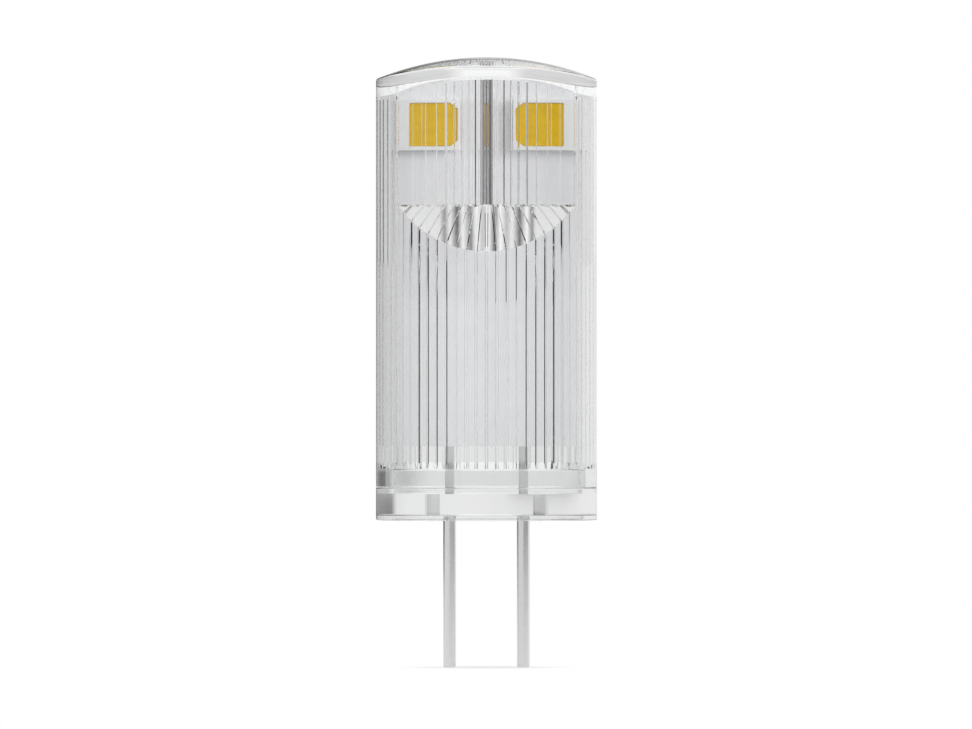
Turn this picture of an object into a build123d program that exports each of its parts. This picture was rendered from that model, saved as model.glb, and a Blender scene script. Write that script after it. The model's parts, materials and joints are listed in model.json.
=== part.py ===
from build123d import *
import math
import os

# Capsule bulb with two contact pins, in millimetres.
# The origin is the centre of the base's bottom face, pins point to -Z and the front faces -Y.

# Contact pins
pin_pitch = 4.0
pin_diameter = 0.7
pin_reach = 8.0
pin_tip_chamfer = 0.08
tail_width = 0.5
tail_top = 7.0

# Base plug
bulb_diameter = 12.0
flange_top = 1.75
plug_floor_top = 1.45
plug_recess_depth = 0.3
plug_rim_width = 0.8
spigot_height = 1.0
spigot_wall = 0.32
spigot_chamfer = 0.12
rim_chamfer = 0.05
tail_hole_clearance = 0.03
spigot_clearance = 0.05
spigot_end_clearance = 0.05

# Clear housing
shoulder_height = 23.93
arch_rise = 1.18
ridge_fall = 0.5
shoulder_rounding = 0.12
roof_thickness = 1.03
ceiling_arch_radius = 12.0
housing_wall = 0.9
counterbore_wall = 0.59
flat_wall_offset = 2.55
flat_wall_height = 6.83
flute_count = 60
flute_depth = 0.08
flute_width = 0.18
flute_roof_gap = 0.15
flute_inner_radius = 2.0
bore_lead_in = 0.15

# Circuit board
board_thickness = 0.8
board_bottom = 4.0
board_edge_clearance = 0.1
board_roof_clearance = 0.2
board_corner_radius = 0.4
score_width = 0.45
score_depth = 0.3
score_length = 8.38

# Light-emitting diodes
led_length = 3.45
led_height = 2.8
led_thickness = 0.7
led_rounding = 0.08
led_edge_margin = 0.378
led_roof_drop = 2.5
window_length = 2.13
window_height = 2.36
window_margin = 0.11
window_chamfer = 0.32
window_rounding = 0.15
window_depth = 0.4
phosphor_sink = 0.06
terminal_length = 0.9
terminal_height = 2.1
terminal_thickness = 0.15

# Driver parts on the back of the board, in rows above the solder joints
row_gap = 0.35
rectifier_width = 4.4
rectifier_height = 4.9
rectifier_thickness = 1.4
rectifier_span = 6.4
rectifier_lead_pitch = 3.0
rectifier_lead_width = 0.65
driver_centre_x = -2.3
driver_width = 2.9
driver_height = 1.6
driver_thickness = 1.1
driver_span = 2.8
driver_lead_pitch = 0.95
driver_lead_width = 0.4
lead_foot = 0.5
lead_sheet = 0.18
standoff = 0.1
body_chamfer = 0.15
capacitor_centres_x = (1.2, 3.2)
capacitor_width = 1.6
capacitor_length = 3.2
capacitor_thickness = 1.0
capacitor_cap_length = 0.5
resistor_centres_x = (-3.1, -0.8)
resistor_length = 2.0
resistor_width = 1.25
resistor_thickness = 0.5
resistor_cap_length = 0.35
cap_wall = 0.04

# Solder on the pins' tails
solder_width = 1.3
solder_crown_width = 0.7
solder_bottom = 5.0
solder_cover = 0.12
solder_taper = 0.35

# Heights and faces worked out from the sizes above
bulb_radius = bulb_diameter / 2
pin_radius = pin_diameter / 2
tail_half = tail_width / 2
arch_radius = (bulb_radius**2 + arch_rise**2) / (2 * arch_rise)
ridge_radius = (bulb_radius**2 + ridge_fall**2) / (2 * ridge_fall)
crown_top = shoulder_height + arch_rise
ceiling_top = crown_top - roof_thickness
ceiling_ridge_radius = ridge_radius - roof_thickness
barrel_half_length = bulb_radius + roof_thickness
bore_radius = bulb_radius - housing_wall
flare_top = shoulder_height - flat_wall_height
flare_height = bore_radius - flat_wall_offset
counterbore_radius = bulb_radius - counterbore_wall
spigot_radius = counterbore_radius - spigot_clearance
spigot_top = flange_top + spigot_height
counterbore_top = spigot_top + spigot_end_clearance
plug_recess_radius = bulb_radius - plug_rim_width
board_back = -tail_half
board_front = board_back - board_thickness
board_half_width = math.sqrt((bore_radius - board_edge_clearance) ** 2 - board_front**2)
board_arch_radius = ceiling_arch_radius - board_roof_clearance
score_bottom = shoulder_height - score_length
led_inner_edge = board_half_width - led_edge_margin - led_length
led_centre_height = shoulder_height - led_roof_drop
solder_top = tail_top + solder_taper + solder_cover
rectifier_centre_height = solder_top + row_gap + rectifier_height / 2
parts_row_bottom = rectifier_centre_height + rectifier_height / 2 + row_gap
driver_centre_height = parts_row_bottom + driver_span / 2
capacitor_centre_height = parts_row_bottom + capacitor_length / 2
resistor_centre_height = parts_row_bottom + driver_span + row_gap + resistor_width / 2
work_size = 4 * bulb_diameter

SIDES = {"left": -1, "right": 1}
FACES = {"front": (board_front, -1), "back": (board_back, 1)}


def block(x_range, y_range, z_range):
    """A box between two corners, each range in any order."""
    ranges = (x_range, y_range, z_range)
    sizes = [abs(last - first) for first, last in ranges]
    middles = [(first + last) / 2 for first, last in ranges]
    return Pos(*middles) * Box(*sizes)


def disc(radius, bottom, top):
    """A cylinder on the bulb's axis."""
    return Pos(0, 0, bottom) * Cylinder(radius, top - bottom, align=(Align.CENTER, Align.CENTER, Align.MIN))


def square_bar(side, half_width, bottom, top):
    """An upright square bar on a pin's axis."""
    x = side * pin_pitch / 2
    return block((x - half_width, x + half_width), (-half_width, half_width), (bottom, top))


def roof_barrel(crown, arch, ridge):
    """A barrel round a line along X whose crown is the roof: an arch seen from the front, flatter from the side."""
    axis_height = crown - ridge
    half_sweep = math.degrees(math.asin(barrel_half_length / arch))
    bow = CenterArc((0, crown - arch), arch, 90 - half_sweep, 2 * half_sweep)
    ends = Polyline(bow @ 1, (-barrel_half_length, axis_height), (barrel_half_length, axis_height), bow @ 0)
    return revolve(Plane.XZ * make_face([bow, ends]), Axis((0, 0, axis_height), (1, 0, 0)))


def ceiling_barrel(gap):
    """The barrel of the cavity's ceiling, or one that lies a gap under it."""
    return roof_barrel(ceiling_top - gap, ceiling_arch_radius - gap, ceiling_ridge_radius - gap)


def cavity_core(growth):
    """The hollow above the plug: a bore that 45 degree flares narrow to two flat walls."""
    flat = flat_wall_offset + growth
    wide = flat + flare_height
    low = counterbore_top - growth
    flare_bottom = flare_top - flare_height
    high = crown_top
    right_half = [(0, low), (wide, low), (wide, flare_bottom), (flat, flare_top), (flat, high), (0, high)]
    left_half = [(-y, z) for y, z in reversed(right_half[1:-1])]
    section = Plane.YZ * make_face(Polyline(*right_half, *left_half, close=True))
    slab = extrude(section, amount=bulb_diameter, both=True)
    return slab & disc(bore_radius + growth, low, high)


def flute_star():
    """A star whose narrow arms cut one flute each into the walls of the cavity."""
    half = flute_width / 2
    arm = [
        Vector(flute_inner_radius, -half),
        Vector(bulb_diameter, -half),
        Vector(bulb_diameter, half),
        Vector(flute_inner_radius, half),
    ]
    outline = []
    for index in range(flute_count):
        turn = 360 * index / flute_count
        outline += [corner.rotate(Axis.Z, turn) for corner in arm]
    face = make_face(Polyline(*outline, close=True))
    return Pos(0, 0, flange_top) * extrude(face, amount=work_size)


def arched_body():
    """The cover's outside: a straight cylinder under an arched roof, with a rounded shoulder."""
    body = disc(bulb_radius, flange_top, crown_top) & roof_barrel(crown_top, arch_radius, ridge_radius)
    roof = body.faces().sort_by(Axis.Z)[-1]
    return fillet(roof.edges(), shoulder_rounding)


def lead_in_cone():
    """The bevel that opens the fluted bore towards the counterbore."""
    cone = Cone(bore_radius + bore_lead_in, bore_radius, bore_lead_in, align=(Align.CENTER, Align.CENTER, Align.MIN))
    return Pos(0, 0, counterbore_top) * cone


def clear_housing():
    """Moulded clear cover with an arched end, a fluted cavity and a counterbore for the plug."""
    body = arched_body()
    counterbore = disc(counterbore_radius, flange_top, counterbore_top)
    core = cavity_core(0) & ceiling_barrel(0)
    flutes = cavity_core(flute_depth) & flute_star() & ceiling_barrel(flute_roof_gap)
    return body - counterbore - core - flutes - lead_in_cone()


def base_plug():
    """Moulded plug: a flange, a thin floor that the pins' tails pass through and a spigot ring."""
    flange = disc(bulb_radius, 0, flange_top)
    rim = flange.edges().filter_by(GeomType.CIRCLE).sort_by(Axis.Z)[0]
    flange = chamfer(rim, rim_chamfer)
    spigot = disc(spigot_radius, flange_top, spigot_top)
    crown = spigot.edges().filter_by(GeomType.CIRCLE).sort_by(Axis.Z)[-1]
    spigot = chamfer(crown, spigot_chamfer)
    plug = flange + spigot - disc(spigot_radius - spigot_wall, plug_floor_top, spigot_top)
    plug = plug - disc(plug_recess_radius, 0, plug_recess_depth)
    for side in SIDES.values():
        plug = plug - square_bar(side, tail_half + tail_hole_clearance, 0, plug_floor_top)
    return plug


def contact_pin(side):
    """Pin with a round contact below the plug's floor and a thinner square tail above it."""
    contact = Pos(side * pin_pitch / 2, 0, 0) * disc(pin_radius, -pin_reach, plug_recess_depth)
    tip = contact.edges().filter_by(GeomType.CIRCLE).sort_by(Axis.Z)[0]
    contact = chamfer(tip, pin_tip_chamfer)
    return contact + square_bar(side, tail_half, plug_recess_depth, tail_top)


def circuit_board():
    """Board with an arched top under the roof and a score line between the light sources."""
    full_width = (-board_half_width, board_half_width)
    blank = block(full_width, (board_back, board_front), (board_bottom, shoulder_height))
    arch = Pos(0, board_front, ceiling_top - ceiling_arch_radius) * Rot(90, 0, 0) * Cylinder(
        board_arch_radius, work_size
    )
    blank = blank & arch
    lower_corners = blank.edges().filter_by(Axis.Y).sort_by(Axis.Z)[:2]
    blank = fillet(lower_corners, board_corner_radius)
    score = (-score_width / 2, score_width / 2)
    for face, outward in FACES.values():
        floor = face - outward * score_depth
        blank = blank - block(score, (floor, face + outward), (score_bottom, work_size))
    return blank


def led_plane(face, outward, side):
    """Drawing plane on the board's face at a diode's inner edge, local x away from the axis."""
    origin = (side * led_inner_edge, face, led_centre_height)
    return Plane(origin=origin, x_dir=(side, 0, 0), z_dir=(0, outward, 0))


def led_block(plane, x_range, height, z_range):
    """A box on a diode's plane, centred on its height."""
    x_middle = sum(x_range) / 2
    z_middle = sum(z_range) / 2
    size = (x_range[1] - x_range[0], height, z_range[1] - z_range[0])
    return plane * Pos(x_middle, 0, z_middle) * Box(*size)


def led_window(plane, bottom, top):
    """The window's prism, with chamfered inner corners and rounded outer corners."""
    outline = Pos(window_margin + window_length / 2, 0) * Rectangle(window_length, window_height)
    inner = outline.vertices().sort_by(Axis.X)[:2]
    outline = chamfer(inner, window_chamfer)
    outer = outline.vertices().sort_by(Axis.X)[-2:]
    outline = fillet(outer, window_rounding)
    return extrude(plane.offset(bottom) * outline, amount=top - bottom)


def led_terminals(plane):
    """The two soldered end pads of a diode."""
    sheet = (0, terminal_thickness)
    first = led_block(plane, (0, terminal_length), terminal_height, sheet)
    last = led_block(plane, (led_length - terminal_length, led_length), terminal_height, sheet)
    return first + last


def led_package(plane):
    """White package with a pocket for the phosphor and two pads let into its underside."""
    body = led_block(plane, (0, led_length), led_height, (0, led_thickness))
    upright = body.edges().filter_by(Axis.Y)
    body = fillet(upright, led_rounding)
    pocket = led_window(plane, led_thickness - window_depth, led_thickness)
    return body - pocket - led_terminals(plane)


def led_phosphor(plane):
    """Yellow phosphor in the window, a little below the package's face."""
    return led_window(plane, led_thickness - window_depth, led_thickness - phosphor_sink)


def moulded_body(centre_x, centre_height, width, height, thickness):
    """Black moulded body that stands just off the board's back, its top edges chamfered."""
    top = board_back + thickness
    x_range = (centre_x - width / 2, centre_x + width / 2)
    z_range = (centre_height - height / 2, centre_height + height / 2)
    body = block(x_range, (board_back + standoff, top), z_range)
    upper_edges = body.faces().sort_by(Axis.Y)[-1].edges()
    return chamfer(upper_edges, body_chamfer)


def gull_wing(reach, span, thickness, width):
    """One bent lead drawn along +X from a body's side to the board, centred on its width."""
    foot_start = span - lead_foot
    middle = standoff + (thickness - standoff) / 2
    outline = [
        (reach, middle + lead_sheet / 2),
        (foot_start + lead_sheet, middle + lead_sheet / 2),
        (foot_start + lead_sheet, lead_sheet),
        (span, lead_sheet),
        (span, 0),
        (foot_start, 0),
        (foot_start, middle - lead_sheet / 2),
        (reach, middle - lead_sheet / 2),
    ]
    profile = make_face(Polyline(*outline, close=True))
    return extrude(profile, amount=width / 2, both=True)


def rectifier_leads():
    """Four leads, two at each side of the bridge rectifier."""
    reach = rectifier_width / 2
    lead = gull_wing(reach, rectifier_span / 2, rectifier_thickness, rectifier_lead_width)
    leads = []
    for side in SIDES.values():
        for row in (-1, 1):
            place = (0, board_back, rectifier_centre_height + row * rectifier_lead_pitch / 2)
            plane = Plane(origin=place, x_dir=(side, 0, 0), z_dir=(0, 0, side))
            leads.append(plane * lead)
    return Compound(children=leads)


def driver_leads():
    """Six leads, three above and three below the driver chip."""
    lead = gull_wing(driver_height / 2, driver_span / 2, driver_thickness, driver_lead_width)
    leads = []
    for side in SIDES.values():
        for column in (-1, 0, 1):
            place = (driver_centre_x + column * driver_lead_pitch, board_back, driver_centre_height)
            plane = Plane(origin=place, x_dir=(0, 0, side), z_dir=(-side, 0, 0))
            leads.append(plane * lead)
    return Compound(children=leads)


def chip_part(centre_x, centre_height, width, height, thickness, cap_length, upright):
    """A ceramic chip part lying on the board: its body and its two metal end caps."""
    centre = Pos(centre_x, board_back + thickness / 2, centre_height)
    outside = centre * Box(width, thickness, height)
    body = centre * Box(width - 2 * cap_wall, thickness - 2 * cap_wall, height - 2 * cap_wall)
    if upright:
        bare = centre * Box(width, thickness, height - 2 * cap_length)
    else:
        bare = centre * Box(width - 2 * cap_length, thickness, height)
    return body, outside - bare - body


def capacitors():
    """Two upright ceramic capacitors."""
    return [
        chip_part(x, capacitor_centre_height, capacitor_width, capacitor_length,
                  capacitor_thickness, capacitor_cap_length, True)
        for x in capacitor_centres_x
    ]


def resistors():
    """Two level current-sense resistors."""
    return [
        chip_part(x, resistor_centre_height, resistor_length, resistor_width,
                  resistor_thickness, resistor_cap_length, False)
        for x in resistor_centres_x
    ]


def solder_joint(side):
    """Solder that wraps the upper end of a tail on the board's back."""
    x = side * pin_pitch / 2
    length = solder_top - solder_bottom
    rise = tail_width + solder_cover
    foot_plane = Plane(origin=(x, board_back, solder_bottom + length / 2), x_dir=(1, 0, 0), z_dir=(0, 1, 0))
    foot = foot_plane * SlotOverall(length, solder_width, rotation=90)
    crest_plane = foot_plane.offset(rise)
    crest = crest_plane * SlotOverall(length - 2 * solder_taper, solder_crown_width, rotation=90)
    return loft([foot.face(), crest.face()]) - square_bar(side, tail_half, 0, tail_top)


parts = {
    "clear_housing": clear_housing(),
    "base_plug": base_plug(),
    "circuit_board": circuit_board(),
    "bridge_rectifier": moulded_body(
        0, rectifier_centre_height, rectifier_width, rectifier_height, rectifier_thickness
    ),
    "bridge_rectifier_leads": rectifier_leads(),
    "driver_chip": moulded_body(
        driver_centre_x, driver_centre_height, driver_width, driver_height, driver_thickness
    ),
    "driver_chip_leads": driver_leads(),
}

for side_name, side in SIDES.items():
    parts[f"contact_pin_{side_name}"] = contact_pin(side)
    parts[f"solder_joint_{side_name}"] = solder_joint(side)
    for face_name, (face, outward) in FACES.items():
        plane = led_plane(face, outward, side)
        parts[f"led_package_{face_name}_{side_name}"] = led_package(plane)
        parts[f"led_phosphor_{face_name}_{side_name}"] = led_phosphor(plane)
        parts[f"led_terminals_{face_name}_{side_name}"] = led_terminals(plane)

for name, (body, end_caps) in zip(("input_capacitor", "output_capacitor"), capacitors()):
    parts[name] = body
    parts[f"{name}_end_caps"] = end_caps

for name, (body, end_caps) in zip(("sense_resistor_left", "sense_resistor_right"), resistors()):
    parts[name] = body
    parts[f"{name}_end_caps"] = end_caps

os.makedirs("parts", exist_ok=True)
for name, shape in parts.items():
    export_step(shape, f"parts/{name}.step")
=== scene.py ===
import json
import math

import bmesh
import bpy
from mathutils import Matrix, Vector


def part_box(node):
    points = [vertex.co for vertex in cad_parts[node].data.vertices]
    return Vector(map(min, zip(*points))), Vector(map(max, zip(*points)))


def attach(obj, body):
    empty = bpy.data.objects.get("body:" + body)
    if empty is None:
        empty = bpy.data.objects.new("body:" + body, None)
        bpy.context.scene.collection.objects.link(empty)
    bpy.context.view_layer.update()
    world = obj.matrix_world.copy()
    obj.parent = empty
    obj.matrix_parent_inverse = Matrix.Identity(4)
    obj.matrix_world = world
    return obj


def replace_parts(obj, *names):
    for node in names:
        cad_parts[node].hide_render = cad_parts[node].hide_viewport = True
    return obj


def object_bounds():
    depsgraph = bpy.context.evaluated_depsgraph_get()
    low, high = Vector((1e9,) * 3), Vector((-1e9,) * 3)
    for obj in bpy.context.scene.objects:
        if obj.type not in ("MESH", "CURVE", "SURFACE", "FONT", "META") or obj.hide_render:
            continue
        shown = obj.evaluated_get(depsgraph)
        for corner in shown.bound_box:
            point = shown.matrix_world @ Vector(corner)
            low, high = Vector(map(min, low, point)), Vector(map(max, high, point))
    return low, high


bl_info = {
    "name": "Capsule bulb",
    "version": (1, 0, 0),
    "blender": (4, 5, 0),
    "location": "3D View > Sidebar > Bulb",
    "description": "Dresses a clear capsule bulb: housing, plug, pins, board, diodes and driver parts",
    "category": "Object",
}

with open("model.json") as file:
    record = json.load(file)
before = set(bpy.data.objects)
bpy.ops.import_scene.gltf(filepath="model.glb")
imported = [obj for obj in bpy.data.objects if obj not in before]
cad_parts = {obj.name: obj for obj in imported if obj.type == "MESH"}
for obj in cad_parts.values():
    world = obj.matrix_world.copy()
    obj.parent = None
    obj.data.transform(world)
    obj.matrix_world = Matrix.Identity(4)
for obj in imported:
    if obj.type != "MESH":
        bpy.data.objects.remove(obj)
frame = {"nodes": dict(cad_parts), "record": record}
CAD_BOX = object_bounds()

MM = 0.001
BODY = "root"
SIDES = {"left": -1, "right": 1}
FACES = {"front": -1, "back": 1}
LED_NAMES = [f"{face}_{side}" for face in FACES for side in SIDES]

HOUSING_LOW, HOUSING_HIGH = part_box("clear_housing")
PLUG_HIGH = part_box("base_plug")[1]
BOARD_LOW, BOARD_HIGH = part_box("circuit_board")

# The photograph's frame: its size in pixels, and where it shows the bulb's axis and the base's lower face
PICTURE_WIDTH = 972
PICTURE_HEIGHT = 729
AXIS_PIXEL = 486.5
BASE_PIXEL = 520.0
PIXELS_PER_METRE = 18420.0

# Tones of the surroundings in clear plastic, by half turns to the right of straight behind.
# Each list holds for directions that rise at least as steeply as its slope, up to the next list's.
LEVEL_TONES = (
    (-1.0, (
        (-1.0, 0.75), (-0.54, 0.85), (-0.08, 0.8), (-0.04, 0.82), (0.235, 0.82), (0.265, 0.2), (0.5, 0.18),
        (0.54, 0.8), (1.0, 0.75),
    )),
    (-0.0076, (
        (-1.0, 0.75), (-0.54, 0.85), (-0.26, 0.8), (-0.2, 0.2), (-0.06, 0.2), (-0.03, 0.78), (1.0, 0.75),
    )),
    (-0.0063, (
        (-1.0, 0.7), (-0.54, 0.7), (-0.3, 0.68), (-0.18, 0.64), (-0.08, 0.66), (-0.04, 0.8), (0.2, 0.78),
        (0.3, 0.73), (0.7, 0.68), (1.0, 0.7),
    )),
    (0.006, (
        (-1.0, 0.4), (-0.84, 0.4), (-0.8, 0.03), (-0.62, 0.03), (-0.58, 0.35), (-0.5, 0.5), (-0.44, 0.64),
        (-0.22, 0.7), (-0.08, 0.7), (-0.04, 0.98), (0.04, 0.98), (0.08, 0.7), (0.7, 0.68), (0.96, 0.7),
        (1.0, 0.5),
    )),
)
# Half the slope over which one list's tones go over into the next list's
LEVEL_BLUR = 0.0002
# Slopes between which the tones overhead take over
STEEP_SLOPES = (0.55, 0.75)

# Tones that glossy rays meet: falling ones come off the pins, rising ones off the housing's upper half
GLOSSY_TONES = (
    (-1.0, (
        (-1.0, 0.7), (-0.9, 0.95), (-0.5, 0.95), (-0.42, 0.12), (-0.02, 0.12), (0.02, 0.95), (0.46, 0.95),
        (0.52, 0.34), (0.96, 0.34), (1.0, 0.7),
    )),
    (0.004, (
        (-1.0, 0.25), (-0.5, 0.25), (-0.42, 0.12), (-0.02, 0.12), (0.02, 0.95), (0.4, 0.95), (0.5, 0.2),
        (1.0, 0.25),
    )),
)

# Tones straight overhead, by how far a direction leans to the right
OVERHEAD_TONES = (
    (-1.0, 0.8), (-0.26, 0.8), (-0.24, 0.25), (-0.21, 1.0), (-0.17, 0.15), (-0.13, 0.9), (-0.1, 0.5),
    (-0.07, 1.0), (-0.04, 0.12), (-0.01, 1.0), (0.02, 0.55), (0.05, 1.0), (0.08, 0.2), (0.12, 0.95),
    (0.15, 0.1), (0.19, 0.9), (0.22, 0.3), (0.25, 0.8), (1.0, 0.8),
)


def length(name, description, default):
    """A size in metres."""
    return bpy.props.FloatProperty(
        name=name, description=description, default=default, min=0.0, unit="LENGTH"
    )


def colour(name, description, default):
    """A linear colour."""
    return bpy.props.FloatVectorProperty(
        name=name, description=description, default=default, min=0.0, max=1.0, size=3, subtype="COLOR"
    )


def count(name, description, default):
    """A number of copies."""
    return bpy.props.IntProperty(name=name, description=description, default=default, min=1)


class HousingSizes(bpy.types.PropertyGroup):
    """Sizes of the clear housing."""

    wall: length("Wall", "Thickness of the round wall", 0.9 * MM)
    roof: length("Roof", "Thickness of the arched roof at its crown", 1.03 * MM)
    dome_rise: length("Arch rise", "Height of the crown above the left and right shoulders", 1.18 * MM)
    ridge_fall: length("Ridge fall", "Height of the crown above the front and back shoulders", 0.5 * MM)
    ceiling_arch: length("Ceiling arch", "Radius of the cavity's roof from left to right", 12.0 * MM)
    shoulder_radius: length("Shoulder radius", "Rounding between wall and roof", 0.12 * MM)
    counterbore_wall: length("Counterbore wall", "Wall left round the plug's spigot", 0.59 * MM)
    counterbore_height: length("Counterbore height", "Depth of the counterbore", 1.05 * MM)
    flat_offset: length("Flat offset", "Distance of each flat inner wall from the axis", 2.55 * MM)
    flat_height: length("Flat height", "Height of the flat walls below the shoulder", 6.83 * MM)
    flutes: count("Flutes", "Number of flutes round the cavity", 60)
    flute_depth: length("Flute depth", "Depth of one flute", 0.1 * MM)
    flute_width: length("Flute width", "Width of one flute", 0.16 * MM)
    flute_gap: length("Flute gap", "Distance between the flutes' upper ends and the roof", 0.15 * MM)
    lead_in: length("Lead-in", "Height of the bevel between the bore and the counterbore", 0.3 * MM)
    lead_in_width: length("Lead-in width", "Width of that bevel", 0.07 * MM)
    edge_radius: length("Edge radius", "Rounding of the lower rim", 0.06 * MM)


class PlugSizes(bpy.types.PropertyGroup):
    """Sizes of the base plug."""

    flange_height: length("Flange height", "Height of the flange", 1.75 * MM)
    floor_top: length("Floor top", "Height of the floor's upper face", 1.45 * MM)
    recess: length("Recess", "Depth of the recess under the floor", 0.3 * MM)
    rim: length("Rim", "Width of the lower rim", 0.8 * MM)
    spigot_radius: length("Spigot radius", "Outer radius of the spigot ring", 5.36 * MM)
    spigot_wall: length("Spigot wall", "Thickness of the spigot ring", 0.32 * MM)
    rounding: length("Rounding", "Rounding of the outer edges", 0.05 * MM)


class PinSizes(bpy.types.PropertyGroup):
    """Sizes of a contact pin."""

    pitch: length("Pitch", "Distance between the pins", 4.0 * MM)
    diameter: length("Diameter", "Diameter of the contact", 0.7 * MM)
    tail: length("Tail", "Width of the square tail", 0.5 * MM)
    step_height: length("Step height", "Height of the step between contact and tail", 0.3 * MM)
    tip: length("Tip", "Bevel of the tip", 0.08 * MM)


class DiodeSizes(bpy.types.PropertyGroup):
    """Sizes of one diode."""

    window_length: length("Window length", "Length of the phosphor window", 2.13 * MM)
    window_height: length("Window height", "Height of the phosphor window", 2.36 * MM)
    window_margin: length("Window margin", "Package left beside the window towards the axis", 0.11 * MM)
    window_chamfer: length("Window chamfer", "Chamfer of the two inner corners", 0.32 * MM)
    window_rounding: length("Window rounding", "Radius of the two outer corners", 0.15 * MM)
    cup_depth: length("Cup depth", "Depth of the cup that holds the phosphor", 0.4 * MM)
    cup_taper: length("Cup taper", "How far the cup's walls lean in", 0.09 * MM)
    phosphor_sink: length("Phosphor sink", "Depth of the phosphor's face under the package's", 0.06 * MM)
    corner_radius: length("Corner radius", "Rounding of the package's upright edges", 0.08 * MM)
    edge_radius: length("Edge radius", "Rounding of the package's front edges", 0.05 * MM)


class BoardSizes(bpy.types.PropertyGroup):
    """Sizes of the grey strip painted down the board in place of a dark reflection, and of the solder on the
    board.
    """

    # Painted dark reflection: width of the grey strip painted down the board's middle between the diodes
    painted_strip_width: length("Score width", "Width of the score line between the diodes", 0.45 * MM)
    solder_width: length("Solder width", "Width of a solder joint on the board", 1.3 * MM)
    fillet_foot: length("Fillet foot", "Radius of a fillet's foot on the board", 0.34 * MM)
    fillet_crown: length("Fillet crown", "Radius of a fillet's upper end", 0.16 * MM)
    fillet_rise: length("Fillet rise", "Height of a fillet", 0.14 * MM)
    rectifier_lead: length("Rectifier lead", "Width of one lead of the bridge rectifier", 0.65 * MM)
    driver_lead: length("Driver lead", "Width of one lead of the driver chip", 0.4 * MM)
    fillet_seed: count("Fillet seed", "Seed of the fillets' uneven sizes", 7)


class Finishes(bpy.types.PropertyGroup):
    """Colours of the finishes."""

    clear: colour("Clear plastic", "Tint of the clear plastic", (0.985, 0.99, 0.99))
    board: colour("Board", "White solder mask", (0.82, 0.82, 0.835))
    # Painted dark reflection: grey of the strip painted down the board's middle
    score: colour("Score line", "Bare core in the score line", (0.46, 0.46, 0.465))
    package: colour("Package", "White package", (0.86, 0.86, 0.86))
    phosphor: colour("Phosphor", "Yellow phosphor", (0.8, 0.5, 0.003))
    pin: colour("Pin", "Bright plated wire", (0.78, 0.78, 0.79))
    solder: colour("Solder", "Reflowed solder", (0.62, 0.63, 0.64))
    plating: colour("Plating", "Tin plating", (0.7, 0.7, 0.69))
    moulding: colour("Moulding", "Black epoxy", (0.018, 0.018, 0.02))
    ceramic: colour("Ceramic", "Tan ceramic", (0.33, 0.2, 0.1))
    film: colour("Film", "Dark resistor film", (0.02, 0.02, 0.024))


class StageSettings(bpy.types.PropertyGroup):
    """Camera, floor and lamps."""

    camera_distance: length("Camera distance", "Distance of the camera from the bulb's axis", 0.9)
    floor_radius: length("Floor radius", "Radius of the pale floor", 0.4)
    clear_floor: length("Clear floor", "Radius at which the floor has turned white", 0.006)
    floor: colour("Floor", "Pale floor", (0.9, 0.9, 0.9))


class BulbSettings(bpy.types.PropertyGroup):
    """All sizes and colours of the bulb."""

    housing: bpy.props.PointerProperty(type=HousingSizes)
    plug: bpy.props.PointerProperty(type=PlugSizes)
    pin: bpy.props.PointerProperty(type=PinSizes)
    diode: bpy.props.PointerProperty(type=DiodeSizes)
    board: bpy.props.PointerProperty(type=BoardSizes)
    finishes: bpy.props.PointerProperty(type=Finishes)
    stage: bpy.props.PointerProperty(type=StageSettings)


# Node trees of the finishes

# The part of a noise pattern's range that its values mostly keep to
PATTERN_SPAN = (0.3, 0.7)


def fill(tree, node, entries):
    """Sets a value or a link on each named input of a node."""
    for key, value in entries.items():
        if isinstance(value, bpy.types.NodeSocket):
            tree.links.new(value, node.inputs[key])
        else:
            node.inputs[key].default_value = value


def add_node(tree, kind, entries, **settings):
    """A new node with its settings and inputs."""
    node = tree.nodes.new(kind)
    for name, value in settings.items():
        setattr(node, name, value)
    fill(tree, node, entries)
    return node


def new_finish(name):
    """An empty material with a Principled shader: material, tree and shader."""
    material = bpy.data.materials.new(name)
    material.use_nodes = True
    tree = material.node_tree
    tree.nodes.clear()
    shader = tree.nodes.new("ShaderNodeBsdfPrincipled")
    add_node(tree, "ShaderNodeOutputMaterial", {"Surface": shader.outputs["BSDF"]})
    return material, tree, shader


def node_of_type(tree, kind):
    """The first node of a type in a tree."""
    return next(node for node in tree.nodes if node.type == kind)


def reckon(tree, operation, *values):
    """The result of a maths node on sockets and numbers."""
    entries = dict(enumerate(values))
    return add_node(tree, "ShaderNodeMath", entries, operation=operation).outputs["Value"]


def split(tree, coordinates):
    """The X, Y and Z sockets of one output of a texture coordinate node."""
    place = tree.nodes.new("ShaderNodeTexCoord").outputs[coordinates]
    parts = add_node(tree, "ShaderNodeSeparateXYZ", {"Vector": place})
    return [parts.outputs[axis] for axis in "XYZ"]


def remap(tree, value, low, high, bottom=0.0, top=1.0, interpolation="LINEAR"):
    """A number that goes from bottom to top as a value goes from low to high."""
    entries = {"Value": value, "From Min": low, "From Max": high, "To Min": bottom, "To Max": top}
    node = add_node(tree, "ShaderNodeMapRange", entries, interpolation_type=interpolation)
    return node.outputs["Result"]


def blend(tree, factor, first, second):
    """One colour that goes over into another by a factor: each is a socket or red, green, blue and alpha."""
    entries = {"Factor": factor, "A": first, "B": second}
    return add_node(tree, "ShaderNodeMix", entries, data_type="RGBA").outputs["Result"]


def mix_shaders(tree, factor, first, second):
    """Two shaders mixed by a factor, set as the material's surface."""
    mix = add_node(tree, "ShaderNodeMixShader", {"Fac": factor, 1: first, 2: second})
    fill(tree, node_of_type(tree, "OUTPUT_MATERIAL"), {"Surface": mix.outputs["Shader"]})


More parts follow.
